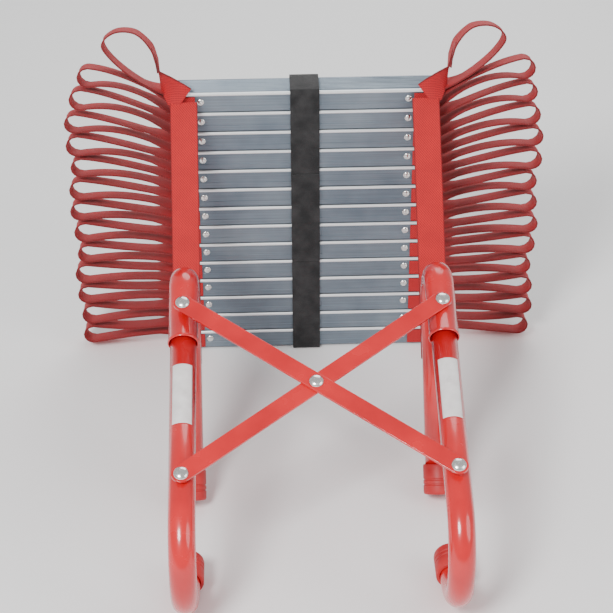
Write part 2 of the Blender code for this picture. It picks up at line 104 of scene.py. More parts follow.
# Rungs: hollow extruded aluminium with a ribbed tread whose rounded nose stands out over the face.
# They are saw cut and satin anodised, so the grain runs along them; the rounded nose carries a painted
# highlight, a near-white line in the colour.
def node(tree, kind, **values):
    made = tree.nodes.new(kind)
    for key, value in values.items():
        if key in made.inputs:
            made.inputs[key].default_value = value
        else:
            setattr(made, key, value)
    return made


def ramp(tree, source, stops):
    made = tree.nodes.new("ShaderNodeValToRGB")
    while len(made.color_ramp.elements) < len(stops):
        made.color_ramp.elements.new(0.5)
    for element, (place, colour) in zip(made.color_ramp.elements, stops):
        element.position = place
        element.color = colour
    tree.links.new(source, made.inputs["Fac"])
    return made.outputs["Color"]


def grey(level):
    return (level, level, level, 1.0)


def finish_material(name, colour, roughness, metallic=0.0, coat=0.0, sheen=0.0):
    """A Principled material; returns it with its tree and shader, ready for the finish's own detail."""
    made = bpy.data.materials.new(name)
    made.use_nodes = True
    shader = made.node_tree.nodes["Principled BSDF"]
    shader.inputs["Base Color"].default_value = (*colour, 1.0)
    shader.inputs["Roughness"].default_value = roughness
    shader.inputs["Metallic"].default_value = metallic
    shader.inputs["Coat Weight"].default_value = coat
    shader.inputs["Coat Roughness"].default_value = 0.08
    shader.inputs["Sheen Weight"].default_value = sheen
    shader.inputs["Sheen Roughness"].default_value = 0.4
    return made, made.node_tree, shader


def bump(tree, shader, height, strength, distance):
    made = node(tree, "ShaderNodeBump", Strength=strength, Distance=distance)
    tree.links.new(height, made.inputs["Height"])
    if shader.inputs["Normal"].links:
        tree.links.new(shader.inputs["Normal"].links[0].from_socket, made.inputs["Normal"])
    tree.links.new(made.outputs["Normal"], shader.inputs["Normal"])


def aluminium_finish():
    made, tree, shader = finish_material("satin_aluminium", (0.22, 0.27, 0.32), 0.34, 0.70)
    place = node(tree, "ShaderNodeTexCoord")
    along = node(tree, "ShaderNodeMapping")
    along.inputs["Scale"].default_value = (6.0, 900.0, 900.0)
    tree.links.new(place.outputs["Object"], along.inputs["Vector"])
    grain = node(tree, "ShaderNodeTexNoise", Scale=1.0, Detail=4.0)
    tree.links.new(along.outputs["Vector"], grain.inputs["Vector"])
    cloudy = node(tree, "ShaderNodeTexNoise", Scale=14.0, Detail=3.0)
    tree.links.new(place.outputs["Object"], cloudy.inputs["Vector"])
    tint = ramp(tree, cloudy.outputs["Fac"],
                [(0.30, (0.15, 0.19, 0.235, 1)), (0.72, (0.25, 0.30, 0.345, 1))])
    streak = ramp(tree, grain.outputs["Fac"], [(0.35, grey(0.82)), (0.65, grey(1.0))])
    mixed = node(tree, "ShaderNodeMixRGB", blend_type="MULTIPLY")
    mixed.inputs["Fac"].default_value = 1.0
    tree.links.new(tint, mixed.inputs["Color1"])
    tree.links.new(streak, mixed.inputs["Color2"])
    # Painted highlight: the nose attribute mixes a near-white into the colour along the tread's rounded nose.
    wear_and_painted_light = node(tree, "ShaderNodeAttribute", attribute_name="painted_nose_highlight")
    bright = node(tree, "ShaderNodeMixRGB")
    bright.inputs["Color2"].default_value = (0.86, 0.89, 0.90, 1.0)
    tree.links.new(wear_and_painted_light.outputs["Fac"], bright.inputs["Fac"])
    tree.links.new(mixed.outputs["Color"], bright.inputs["Color1"])
    tree.links.new(bright.outputs["Color"], shader.inputs["Base Color"])
    rough = ramp(tree, grain.outputs["Fac"], [(0.3, grey(0.30)), (0.7, grey(0.44))])
    tree.links.new(rough, shader.inputs["Roughness"])
    bump(tree, shader, grain.outputs["Fac"], 0.12, 0.0004)
    return made


def place_mesh(name, work, material, body, replaced=(), smooth_angle=35.0):
    """Writes a finished bmesh out as a piece that rides on its body."""
    mesh = bpy.data.meshes.new(name)
    work.to_mesh(mesh)
    work.free()
    mesh.materials.append(material)
    mesh.shade_smooth()
    mesh.set_sharp_from_angle(angle=math.radians(smooth_angle))
    piece = bpy.data.objects.new(name, mesh)
    bpy.context.scene.collection.objects.link(piece)
    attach(piece, body)
    if replaced:
        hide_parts(*replaced)
    return piece


stack = "stack_and_left_hook"
rung_count = len([name for name in frame["nodes"] if name.startswith("rung_")])
rung_low, rung_high = (Vector(corner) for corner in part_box("rung_01"))
rung_length = rung_high.x - rung_low.x
rung_height = rung_high.z - rung_low.z
rung_depth = 0.036
rung_wall = 0.0016
nose_reach = 0.0020
rib_count = 9
aluminium = aluminium_finish()


def rung_section():
    """The outline in the rung's depth and height, from the foot of its face round the tread."""
    tread_front = -nose_reach
    outline = [(0.0, 0.0006), (0.0006, 0.0), (rung_depth - 0.0006, 0.0), (rung_depth, 0.0006),
               (rung_depth, rung_height - 0.0010), (rung_depth - 0.0010, rung_height - 0.0004)]
    rib_pitch = (rung_depth - 0.006) / rib_count
    for rib in range(rib_count):
        back = rung_depth - 0.0030 - rib * rib_pitch
        outline += [(back, rung_height - 0.0009), (back - 0.0005, rung_height),
                    (back - rib_pitch * 0.5, rung_height),
                    (back - rib_pitch * 0.5 - 0.0005, rung_height - 0.0009)]
    outline += [(tread_front + 0.0030, rung_height - 0.0002), (tread_front + 0.0010, rung_height - 0.0004),
                (tread_front + 0.0002, rung_height - 0.0012), (tread_front, rung_height - 0.0022),
                (tread_front + 0.0004, rung_height - 0.0036), (0.0, rung_height - 0.0046),
                (0.0, rung_height - 0.0080), (0.0005, rung_height - 0.0084),
                (0.0005, 0.0076), (0.0, 0.0072)]
    return outline


for index in range(rung_count):
    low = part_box(f"rung_{index + 1:02d}")[0]
    work = bmesh.new()
    painted_nose_highlight = work.verts.layers.float.new("painted_nose_highlight")
    section = [work.verts.new((-rung_length / 2, stack_face + depth, low[2] + height))
               for depth, height in rung_section()]
    for vert in section:
        # Vertices on the tread's nose carry the painted highlight.
        on_nose = vert.co.y < stack_face - 0.0002 and vert.co.z > low[2] + rung_height - 0.0042
        vert[painted_nose_highlight] = 1.0 if on_nose else 0.0
    hollow = [work.verts.new((-rung_length / 2, stack_face + depth, low[2] + height)) for depth, height in
              ((rung_wall, rung_wall), (rung_depth - rung_wall, rung_wall),
               (rung_depth - rung_wall, rung_height - 0.0026), (rung_wall, rung_height - 0.0026))]
    rims = []
    for ring in (section, hollow):
        for first, second in zip(ring, ring[1:] + ring[:1]):
            rims.append(work.edges.new((first, second)))
    bmesh.ops.triangle_fill(work, edges=rims, use_beauty=True)
    flat_end = list(work.faces)
    drawn = bmesh.ops.extrude_face_region(work, geom=flat_end, use_keep_orig=True)
    bmesh.ops.translate(work, vec=(rung_length, 0.0, 0.0),
                        verts=[item for item in drawn["geom"] if isinstance(item, bmesh.types.BMVert)])
    bmesh.ops.recalc_face_normals(work, faces=work.faces)
    place_mesh(f"rung_extrusion_{index + 1:02d}", work, aluminium, stack,
               [f"rung_{index + 1:02d}"], 30.0)


# Rung rivets: tubular rivets through each rung, with a low domed head in front and a set tail behind.
def bright_steel_finish():
    made, tree, shader = finish_material("bright_zinc", (0.78, 0.77, 0.75), 0.22, 1.0)
    place = node(tree, "ShaderNodeTexCoord")
    spots = node(tree, "ShaderNodeTexNoise", Scale=420.0, Detail=3.0)
    tree.links.new(place.outputs["Object"], spots.inputs["Vector"])
    rough = ramp(tree, spots.outputs["Fac"], [(0.35, grey(0.14)), (0.70, grey(0.34))])
    tree.links.new(rough, shader.inputs["Roughness"])
    bump(tree, shader, spots.outputs["Fac"], 0.10, 0.0003)
    return made


def domed_head(work, place, outward, radius, height, steps=20):
    """Spins a quarter dome with a small flat rim about the outward direction."""
    turn = outward.to_track_quat("Z", "X").to_matrix().to_4x4()
    frame_here = Matrix.Translation(place) @ turn
    rise = [(0.0, height), (radius * 0.30, height * 0.97), (radius * 0.58, height * 0.80),
            (radius * 0.82, height * 0.50), (radius * 0.96, height * 0.20), (radius, 0.0), (0.0, 0.0)]
    corners = [work.verts.new(frame_here @ Vector((reach, 0.0, lift))) for reach, lift in rise]
    edges = [work.edges.new(pair) for pair in zip(corners, corners[1:])]
    spun = bmesh.ops.spin(work, geom=corners + edges, cent=place, axis=outward, angle=math.tau,
                          steps=steps, use_merge=True, dvec=(0, 0, 0))
    bmesh.ops.remove_doubles(work, verts=work.verts, dist=0.000004)
    return spun


zinc = bright_steel_finish()
pin_x = 0.121
pin_height = (rung_wall + rung_height - 0.0020) / 2
for index in range(rung_count):
    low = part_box(f"rung_{index + 1:02d}")[0]
    work = bmesh.new()
    for x in (-pin_x, pin_x):
        height = low[2] + pin_height
        domed_head(work, Vector((x, stack_face + 0.0003, height)), Vector((0, -1, 0)), 0.0044, 0.0016, 16)
        domed_head(work, Vector((x, stack_face + rung_depth - 0.0001, height)), Vector((0, 1, 0)),
                   0.0040, 0.0011, 16)
    bmesh.ops.recalc_face_normals(work, faces=work.faces)
    place_mesh(f"rung_rivets_{index + 1:02d}", work, zinc, stack)


# Side webbing: one woven polyester strip a side. From the hook strap it rises in a large loop, then goes
# round each rung's pin and out in a loop between rungs. It has a twill face and rounded selvedges.
def webbing_finish(name, lit, shade):
    made, tree, shader = finish_material(name, lit, 0.74, sheen=0.06)
    along = node(tree, "ShaderNodeAttribute", attribute_name="along")
    across = node(tree, "ShaderNodeAttribute", attribute_name="across")
    place = node(tree, "ShaderNodeCombineXYZ")
    tree.links.new(across.outputs["Fac"], place.inputs["X"])
    tree.links.new(along.outputs["Fac"], place.inputs["Y"])
    twill_turn = node(tree, "ShaderNodeMapping")
    twill_turn.inputs["Rotation"].default_value = (0.0, 0.0, math.radians(38))
    tree.links.new(place.outputs["Vector"], twill_turn.inputs["Vector"])
    twill = node(tree, "ShaderNodeTexWave", Scale=150.0, Distortion=0.6, Detail=1.0)
    twill.inputs["Detail Scale"].default_value = 3.0
    tree.links.new(twill_turn.outputs["Vector"], twill.inputs["Vector"])
    picks = node(tree, "ShaderNodeTexWave", Scale=230.0, bands_direction="Y")
    tree.links.new(place.outputs["Vector"], picks.inputs["Vector"])
    cords = node(tree, "ShaderNodeTexWave", Scale=190.0, bands_direction="X")
    tree.links.new(place.outputs["Vector"], cords.inputs["Vector"])
    cloth = node(tree, "ShaderNodeMath", operation="ADD")
    tree.links.new(twill.outputs["Fac"], cloth.inputs[0])
    weave = node(tree, "ShaderNodeMath", operation="MULTIPLY")
    tree.links.new(picks.outputs["Fac"], weave.inputs[0])
    tree.links.new(cords.outputs["Fac"], weave.inputs[1])
    tree.links.new(weave.outputs["Value"], cloth.inputs[1])
    # Painted shade: the weave's low parts take the darker shade colour and its raised threads the lit one.
    weave_lit_and_shade = ramp(tree, cloth.outputs["Value"], [(0.15, (*shade, 1)), (0.95, (*lit, 1))])
    fade = node(tree, "ShaderNodeTexNoise", Scale=26.0, Detail=3.0)
    tree.links.new(place.outputs["Vector"], fade.inputs["Vector"])
    handled = ramp(tree, fade.outputs["Fac"], [(0.30, grey(0.80)), (0.70, grey(1.0))])
    # Painted shade: the strip's outer edges and the rims of its thickness are darkened to 0.35 of the colour,
    # as shade on the rounded edges.
    edge = node(tree, "ShaderNodeMath", operation="ABSOLUTE")
    tree.links.new(across.outputs["Fac"], edge.inputs[0])
    selvedge = node(tree, "ShaderNodeMapRange")
    selvedge.inputs["From Min"].default_value = 0.0140
    selvedge.inputs["From Max"].default_value = 0.0158
    selvedge.inputs["To Min"].default_value = 1.0
    selvedge.inputs["To Max"].default_value = 0.35
    tree.links.new(edge.outputs["Value"], selvedge.inputs["Value"])
    wear_and_painted_light = node(tree, "ShaderNodeMixRGB", blend_type="MULTIPLY")
    wear_and_painted_light.inputs["Fac"].default_value = 1.0
    tree.links.new(weave_lit_and_shade, wear_and_painted_light.inputs["Color1"])
    tree.links.new(handled, wear_and_painted_light.inputs["Color2"])
    edged = node(tree, "ShaderNodeMixRGB", blend_type="MULTIPLY")
    edged.inputs["Fac"].default_value = 1.0
    tree.links.new(wear_and_painted_light.outputs["Color"], edged.inputs["Color1"])
    tree.links.new(selvedge.outputs["Result"], edged.inputs["Color2"])
    tree.links.new(edged.outputs["Color"], shader.inputs["Base Color"])
    bump(tree, shader, cloth.outputs["Value"], 0.55, 0.0004)
    return made


web_width = 0.0315
web_thickness = 0.0017
web_off_pin = 0.0050
web_middle = stack_face + rung_depth / 2
loop_radius = 0.0127
red_web = webbing_finish("red_webbing", (0.60, 0.006, 0.012), (0.26, 0.001, 0.004))


def through(points, steps):
    """A smooth curve through the points."""
    ends = [points[0] * 2 - points[1], *points, points[-1] * 2 - points[-2]]
    curve = []
    for before, here, after, beyond in zip(ends, ends[1:], ends[2:], ends[3:]):
        for step in range(steps):
            t = step / steps
            curve.append(0.5 * (2 * here + (after - before) * t
                                + (2 * before - 5 * here + 4 * after - beyond) * t * t
                                + (3 * here - before - 3 * after + beyond) * t ** 3))
    curve.append(points[-1])
    return curve


def webbing(name, stations, material, body, replaced=(), width=web_width, crown=0.0, thickness=web_thickness):
    """Draws a strip of cloth station by station: each is its middle and the direction across it."""
    work = bmesh.new()
    across_layer = work.verts.layers.float.new("across")
    along_layer = work.verts.layers.float.new("along")
    shares = (-0.5, -0.46, -0.30, 0.0, 0.30, 0.46, 0.5)

    def station_frame(number):
        middle, across = stations[number]
        before = stations[max(number - 1, 0)][0]
        after = stations[min(number + 1, len(stations) - 1)][0]
        run = (after - before).normalized()
        side = (across - run * across.dot(run)).normalized()
        face = side.cross(run)
        basis = Matrix((side, run, face)).transposed().to_4x4()
        return Matrix.Translation(middle) @ basis

    here = station_frame(0)
    verts = []
    for share in shares:
        vert = work.verts.new(here @ Vector((share * width, 0.0, crown * (1 - 4 * share * share))))
        vert[across_layer] = share * width
        verts.append(vert)
    edges = [work.edges.new(pair) for pair in zip(verts, verts[1:])]
    travelled = 0.0
    for number in range(1, len(stations)):
        there = station_frame(number)
        travelled += (stations[number][0] - stations[number - 1][0]).length
        drawn = bmesh.ops.extrude_edge_only(work, edges=edges)["geom"]
        new_verts = [item for item in drawn if isinstance(item, bmesh.types.BMVert)]
        edges = [item for item in drawn if isinstance(item, bmesh.types.BMEdge)
                 and all(end in new_verts for end in item.verts)]
        bmesh.ops.transform(work, matrix=there @ here.inverted(), verts=new_verts)
        for vert in new_verts:
            vert[along_layer] = travelled
        here = there
    piece = place_mesh(name, work, material, body, replaced, 60.0)
    cloth = piece.modifiers.new("thickness", "SOLIDIFY")
    cloth.thickness = thickness
    cloth.offset = 0.0
    cloth.use_even_offset = True
    rounded = piece.modifiers.new("selvedge", "BEVEL")
    rounded.width = thickness * 0.30
    rounded.segments = 2
    rounded.limit_method = "ANGLE"
    rounded.angle_limit = math.radians(60)
    return piece


def pin_z(index):
    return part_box(f"rung_{index + 1:02d}")[0][2] + pin_height


def loop_route(index, side):
    """From one rung to the next: out, round the loop's end and back, each loop a little different."""
    share = index / (rung_count - 2)
    drift = math.sin(index * 2.3 + side) * 0.0007
    high = (pin_z(index) + pin_z(index + 1)) / 2
    rise = 0.042 - 0.0505 * share + drift * (1 - share * share)
    reach = 0.1172 - 0.016 * max(0.0, 1 - index / 3) ** 2 + math.sin(index * 1.7 + side * 2) * 0.0026
    radius = loop_radius - 0.0005 + math.sin(index * 3.1 + side) * 0.0005
    root = (pin_z(index) - pin_z(index + 1)) / 2 - web_off_pin
    waist = 0.0026 + math.sin(index * 1.3 + side) * 0.0010
    steps = 14
    upper = []
    lower = []
    for step in range(steps + 1):
        s = step / steps
        x = rung_length / 2 + reach * s
        z = high + rise * math.sin(s * math.pi / 2)
        half = root + (radius - root) * s * s - waist * math.sin(s * math.pi)
        upper.append((x, z + half))
        lower.append((x, z - half))
    tip = [(rung_length / 2 + reach + radius * math.sin(turn * math.pi / 8),
            high + rise + radius * math.cos(turn * math.pi / 8)) for turn in range(1, 8)]
    return upper + tip + lower[::-1]


def pin_route(index):
    return [(pin_x - web_off_pin * math.sin(turn * math.pi / 6),
             pin_z(index) + web_off_pin * math.cos(turn * math.pi / 6)) for turn in range(7)]


hook_x = abs(joints["brace_fold"]["pos_m"][0])
stack_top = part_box("rung_01")[1][2]
strap_top = Vector(joints["right_strap_swing"]["pos_m"])
loop_lean = math.radians(16)
for side, word in ((-1, "left"), (1, "right")):
    rung_end = rung_length / 2
    stations = [(Vector((side * hook_x, strap_top.y, stack_top - 0.0045)), Vector((side, 0.0, 0.0))),
                (Vector((side * (hook_x + 0.008), strap_top.y + 0.002, stack_top + 0.001)),
                 Vector((side, 0.30, 0.0))),
                (Vector((side * (hook_x + 0.019), strap_top.y + 0.012, stack_top + 0.009)),
                 Vector((side * 0.75, 0.75, 0.0))),
                (Vector((side * (hook_x + 0.027), web_middle - 0.006, stack_top + 0.020)),
                 Vector((side * 0.25, 1.0, 0.0)))]
    top_loop = through([Vector((rung_end + 0.020, 0.0, stack_top + 0.034)),
                        Vector((rung_end + 0.026, 0.0, stack_top + 0.052)),
                        Vector((rung_end + 0.043, 0.0, stack_top + 0.070)),
                        Vector((rung_end + 0.066, 0.0, stack_top + 0.071)),
                        Vector((rung_end + 0.080, 0.0, stack_top + 0.056)),
                        Vector((rung_end + 0.066, 0.0, stack_top + 0.032)),
                        Vector((rung_end + 0.034, 0.0, stack_top + 0.005)),
                        Vector((rung_end + 0.001, 0.0, pin_z(0) + web_off_pin))], 7)
    route = [(point.x, point.z) for point in top_loop]
    for index in range(rung_count):
        route += pin_route(index)
        if index < rung_count - 1:
            route += loop_route(index, side)
    route.append((pin_x + 0.016, pin_z(rung_count - 1) - web_off_pin))
    for x, z in route:
        lean = loop_lean * min(1.0, max(0.0, (x - rung_end - 0.004) / 0.030))
        stations.append((Vector((side * x, web_middle, z)), Vector((0.0, math.cos(lean), -math.sin(lean)))))
    webbing(f"side_webbing_strip_{word}", stations, red_web, stack, [f"side_webbing_{word}"])


# Rung end tabs: the same webbing, lying flat over each rung's ends under the tread's nose.
# Each is a thin flat piece on the rung's face, just outside the rung rivet.
for index in range(rung_count):
    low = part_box(f"rung_{index + 1:02d}")[0]
    for side, word in ((-1, "left"), (1, "right")):
        stations = [(Vector((side * 0.1385, stack_face - 0.0009, low[2] + height)), Vector((1.0, 0.0, 0.0)))
                    for height in (0.0012, 0.006, 0.011, 0.0165, 0.0200)]
        webbing(f"rung_tab_{word}_{index + 1:02d}", stations, red_web, stack, width=0.0225, crown=0.0005,
                thickness=0.0012)


# Hook straps: red twill webbing from the stack's top corners to the backs of the struts.
# Each carries on from the side webbing above and is riveted flat to its strut below; the right one swings.
def sleeve_point(point, side):
    return Vector((side * hook_x, point.y, point.z))


mounts = {mount["name"]: mount for mount in frame["record"]["mounts"]}
across_hook = Vector((0.0, 1.0, 1.0))
upper_rivet = Vector(joints["brace_fold"]["pos_m"]) * across_hook
lower_rivet = Vector(joints["left_inner_tube_pivot"]["pos_m"]) * across_hook
down_tube = (lower_rivet - upper_rivet).normalized()
out_of_tube = Vector((0.0, down_tube.z, -down_tube.y))
foot_end = Vector(mounts["left_strut_foot_face"]["pos_m"]) * across_hook
down_strut = Vector(mounts["left_strut_foot_face"]["axis"])
back_of_strut = Vector((0.0, -down_strut.z, down_strut.y))
sleeve_radius = 0.016
inner_radius = 0.014
tight_radius = 0.032
bend_radius = 0.060
tight_middle = upper_rivet - down_tube * 0.030 - out_of_tube * tight_radius
tight_end = tight_middle + back_of_strut * tight_radius
bend_middle = lower_rivet + down_tube * 0.034 - out_of_tube * bend_radius
strap_meet = tight_end + back_of_strut * (sleeve_radius + 0.0003 + 0.0009) + down_strut * 0.010
strap_on_strut = 0.048
strap_up = strap_top * across_hook
strap_along = (strap_meet - strap_up).normalized()
strap_web = webbing_finish("red_strap_webbing", (0.68, 0.008, 0.012), (0.30, 0.001, 0.004))
strap_run = (strap_meet - strap_up).length
for side, word in ((-1, "left"), (1, "right")):
    stations = []
    steps = 26
    for step in range(steps + 1):
        reach = (strap_run - (0.0035 if side > 0 else 0.0)) * step / steps
        stations.append((sleeve_point(strap_up + strap_along * reach, side), Vector((1.0, 0.0, 0.0))))
    if side < 0:
        stations += [(sleeve_point(strap_meet + down_strut * strap_on_strut * share, side),
                      Vector((1.0, 0.0, 0.0))) for share in (0.25, 0.5, 0.75, 1.0)]
        webbing("hook_strap_cloth_left", stations, strap_web, stack, ["hook_strap_left"])
    else:
        webbing("hook_strap_cloth_right", stations, strap_web, "right_hook_strap", ["hook_strap_right"])
        stations = [(sleeve_point(strap_meet + down_strut * strap_on_strut * share, side),
                     Vector((1.0, 0.0, 0.0))) for share in (0.0, 0.25, 0.5, 0.75, 1.0)]
        webbing("hook_strap_end_cloth_right", stations, strap_web, "right_hook", ["strap_end_right"])


# Hooks: bent steel tube in gloss red enamel. The outer sleeve turns back into the strut and ends in a
# rolled bead; the inner tube slides in it and is bent round to grip the wall's inside.
def enamel_finish():
    made, tree, shader = finish_material("red_gloss_enamel", (0.62, 0.006, 0.010), 0.22, coat=0.6)
    place = node(tree, "ShaderNodeTexCoord")
    peel = node(tree, "ShaderNodeTexNoise", Scale=260.0, Detail=2.0)
    tree.links.new(place.outputs["Object"], peel.inputs["Vector"])
    handled = node(tree, "ShaderNodeTexNoise", Scale=22.0, Detail=5.0)
    tree.links.new(place.outputs["Object"], handled.inputs["Vector"])
    colour = ramp(tree, handled.outputs["Fac"],
                  [(0.30, (0.52, 0.004, 0.008, 1)), (0.65, (0.68, 0.008, 0.012, 1))])
    tree.links.new(colour, shader.inputs["Base Color"])
    rough = ramp(tree, handled.outputs["Fac"], [(0.35, grey(0.16)), (0.75, grey(0.34))])
    tree.links.new(rough, shader.inputs["Roughness"])
    bump(tree, shader, peel.outputs["Fac"], 0.10, 0.0003)
    return made


def swept_tube(name, stations, wall, material, body, replaced, sides=40):
    """A tube along stations of (middle, outer radius), which lie in a plane across X."""
    def station_frame(number):
        before = stations[max(number - 1, 0)][0]
        after = stations[min(number + 1, len(stations) - 1)][0]
        run = (after - before).normalized()
        across = Vector((1.0, 0.0, 0.0))
        basis = Matrix((across, run.cross(across), run)).transposed().to_4x4()
        return Matrix.Translation(stations[number][0]) @ basis @ Matrix.Scale(stations[number][1], 4)

    work = bmesh.new()
    here = station_frame(0)
    bmesh.ops.create_circle(work, cap_ends=False, radius=1.0, segments=sides, matrix=here)
    edges = list(work.edges)
    for number in range(1, len(stations)):
        there = station_frame(number)
        drawn = bmesh.ops.extrude_edge_only(work, edges=edges)["geom"]
        new_verts = [item for item in drawn if isinstance(item, bmesh.types.BMVert)]
        edges = [item for item in drawn if isinstance(item, bmesh.types.BMEdge)
                 and all(end in new_verts for end in item.verts)]
        bmesh.ops.transform(work, matrix=there @ here.inverted(), verts=new_verts)
        here = there
    bmesh.ops.recalc_face_normals(work, faces=work.faces)
    piece = place_mesh(name, work, material, body, replaced, 40.0)
    shell = piece.modifiers.new("wall", "SOLIDIFY")
    shell.thickness = wall
    shell.offset = -1.0
    shell.use_even_offset = True
    return piece


def arc(middle, radius, start, turn, steps):
    return [middle + Matrix.Rotation(turn * step / steps, 3, "X") @ start * radius
            for step in range(steps + 1)]


enamel = enamel_finish()
tube_slope = math.asin(-down_tube.z)
strut_slope = math.asin(-down_strut.z)
hook_bodies = {"left": (stack, "left_inner_tube"), "right": ("right_hook", "right_inner_tube")}
sleeve_low = upper_rivet + down_tube * 0.039
hook_path = arc(bend_middle, bend_radius, out_of_tube, math.pi - tube_slope, 32)
hook_tip = hook_path[-1] + Vector((0.0, 0.034, 0.0))
for side, word in ((-1, "left"), (1, "right")):
    outer_body, inner_body = hook_bodies[word]
    bead = [(0.0, 0.0), (0.0008, 0.0006), (0.0020, 0.0010), (0.0032, 0.0006), (0.0042, 0.0)]
    stations = [(sleeve_point(sleeve_low - down_tube * along, side), sleeve_radius + swell)
                for along, swell in bead]
    stations += [(sleeve_point(point, side), sleeve_radius) for point in
                 arc(tight_middle, tight_radius, out_of_tube, -(math.pi - strut_slope + tube_slope), 28)]
    stations.append((sleeve_point(foot_end - down_strut * 0.0045, side), sleeve_radius))
    swept_tube(f"hook_outer_tube_{word}", stations, 0.0015, enamel, outer_body, [f"hook_sleeve_{word}"])
    stations = [(sleeve_point(upper_rivet - down_tube * 0.006, side), inner_radius)]
    stations += [(sleeve_point(point, side), inner_radius) for point in hook_path]
    stations.append((sleeve_point(hook_tip, side), inner_radius))
    swept_tube(f"hook_bent_tube_{word}", stations, 0.0015, enamel, inner_body, [f"hook_inner_tube_{word}"])


# Feet and hook caps: moulded red rubber cups pressed over the ends of the tubes, with a rounded end and
# two grip ribs round the side.
def rubber_finish():
    made, tree, shader = finish_material("moulded_red_rubber", (0.50, 0.012, 0.016), 0.50)
    place = node(tree, "ShaderNodeTexCoord")
    grainy = node(tree, "ShaderNodeTexNoise", Scale=600.0, Detail=3.0)
    tree.links.new(place.outputs["Object"], grainy.inputs["Vector"])
    scuffs = node(tree, "ShaderNodeTexNoise", Scale=40.0, Detail=4.0)
    tree.links.new(place.outputs["Object"], scuffs.inputs["Vector"])
    colour = ramp(tree, scuffs.outputs["Fac"],
                  [(0.32, (0.40, 0.008, 0.012, 1)), (0.70, (0.56, 0.022, 0.024, 1))])
    tree.links.new(colour, shader.inputs["Base Color"])
    rough = ramp(tree, scuffs.outputs["Fac"], [(0.30, grey(0.42)), (0.70, grey(0.62))])
    tree.links.new(rough, shader.inputs["Roughness"])
    bump(tree, shader, grainy.outputs["Fac"], 0.25, 0.0003)
    return made


def turned_piece(name, profile, place, outward, material, body, replaced=(), steps=40):
    """Spins a profile of (radius, height) about the outward direction through a place."""
    turn = Matrix.Translation(place) @ outward.to_track_quat("Z", "X").to_matrix().to_4x4()
    work = bmesh.new()
    corners = [work.verts.new(turn @ Vector((radius, 0.0, height))) for radius, height in profile]
    edges = [work.edges.new(pair) for pair in zip(corners, corners[1:])]
    bmesh.ops.spin(work, geom=corners + edges, cent=place, axis=outward, angle=math.tau, steps=steps,
                   use_merge=True, dvec=(0, 0, 0))
    bmesh.ops.remove_doubles(work, verts=work.verts, dist=0.000004)
    bmesh.ops.recalc_face_normals(work, faces=work.faces)
    return place_mesh(name, work, material, body, replaced, 40.0)


rubber = rubber_finish()


def cup(tube_radius, wall):
    inside = tube_radius + 0.0003
    outside = inside + wall
    rim = outside - 0.0008
    return [(0.0, 0.0), (outside - 0.0032, 0.0), (outside - 0.0012, -0.0006), (outside - 0.0003, -0.0018),
            (outside, -0.0036), (outside, -0.0100), (rim, -0.0106), (rim, -0.0118), (outside, -0.0124),
            (outside, -0.0158), (rim, -0.0164), (rim, -0.0176), (outside, -0.0182), (outside, -0.0325),
            (outside - 0.0008, -0.0338), (inside + 0.0004, -0.0340), (inside, -0.0336), (inside, -0.0042),
            (0.0, -0.0042)]


for side, word in ((-1, "left"), (1, "right")):
    outer_body, inner_body = hook_bodies[word]
    turned_piece(f"strut_foot_cup_{word}", cup(sleeve_radius, 0.0022), sleeve_point(foot_end, side),
                 down_strut, rubber, outer_body, [f"strut_foot_{word}"])
    turned_piece(f"hook_end_cup_{word}", cup(inner_radius, 0.0037),
                 sleeve_point(hook_tip + Vector((0.0, 0.0045, 0.0)), side), Vector((0.0, 1.0, 0.0)), rubber,
                 inner_body, [f"hook_end_cap_{word}"])


# Stickers: blank white vinyl, wrapped round the front of each inner tube just below the sleeve.
# They are laid straight on the enamel, and the film is thin enough to take the tube's curve.
def vinyl_finish():
    made, tree, shader = finish_material("white_vinyl", (0.80, 0.77, 0.76), 0.35, coat=0.3)
    place = node(tree, "ShaderNodeTexCoord")
    mottle = node(tree, "ShaderNodeTexNoise", Scale=90.0, Detail=4.0)
    tree.links.new(place.outputs["Object"], mottle.inputs["Vector"])
    colour = ramp(tree, mottle.outputs["Fac"],
                  [(0.30, (0.70, 0.66, 0.65, 1)), (0.70, (0.84, 0.81, 0.80, 1))])
    tree.links.new(colour, shader.inputs["Base Color"])
    rough = ramp(tree, mottle.outputs["Fac"], [(0.30, grey(0.26)), (0.70, grey(0.45))])
    tree.links.new(rough, shader.inputs["Roughness"])
    bump(tree, shader, mottle.outputs["Fac"], 0.12, 0.0002)
    return made


vinyl = vinyl_finish()
for side, word in ((-1, "left"), (1, "right")):
    work = bmesh.new()
    middle = sleeve_point(upper_rivet + down_tube * 0.074, side)
    turns = [math.radians(-46 + 92 * step / 16) for step in range(17)]
    row = [work.verts.new(middle + (out_of_tube * math.cos(turn) + Vector((math.sin(turn), 0.0, 0.0)))
                          * (inner_radius + 0.00035)) for turn in turns]
    edges = [work.edges.new(pair) for pair in zip(row, row[1:])]
    for along in (0.0010, 0.036, 0.036, 0.0010):
        drawn = bmesh.ops.extrude_edge_only(work, edges=edges)["geom"]
        new_verts = [item for item in drawn if isinstance(item, bmesh.types.BMVert)]
        edges = [item for item in drawn if isinstance(item, bmesh.types.BMEdge)
                 and all(end in new_verts for end in item.verts)]
        bmesh.ops.translate(work, vec=down_tube * along, verts=new_verts)
    bmesh.ops.recalc_face_normals(work, faces=work.faces)
    sticker = place_mesh(f"tube_sticker_{word}", work, vinyl, hook_bodies[word][1], (), 60.0)
    film = sticker.modifiers.new("film", "SOLIDIFY")
    film.thickness = 0.0002
    film.offset = 0.0


# Brace: two flat enamelled steel arms with rounded ends, crossed and pinned so that the hooks fold together.
# Punched from strip, so their edges are slightly broken.
arm_end_radius = 0.010
arm_hole_radius = 0.00375
arm_thickness = 0.003
arm_a_under, arm_b_under = 0.0164, 0.0198


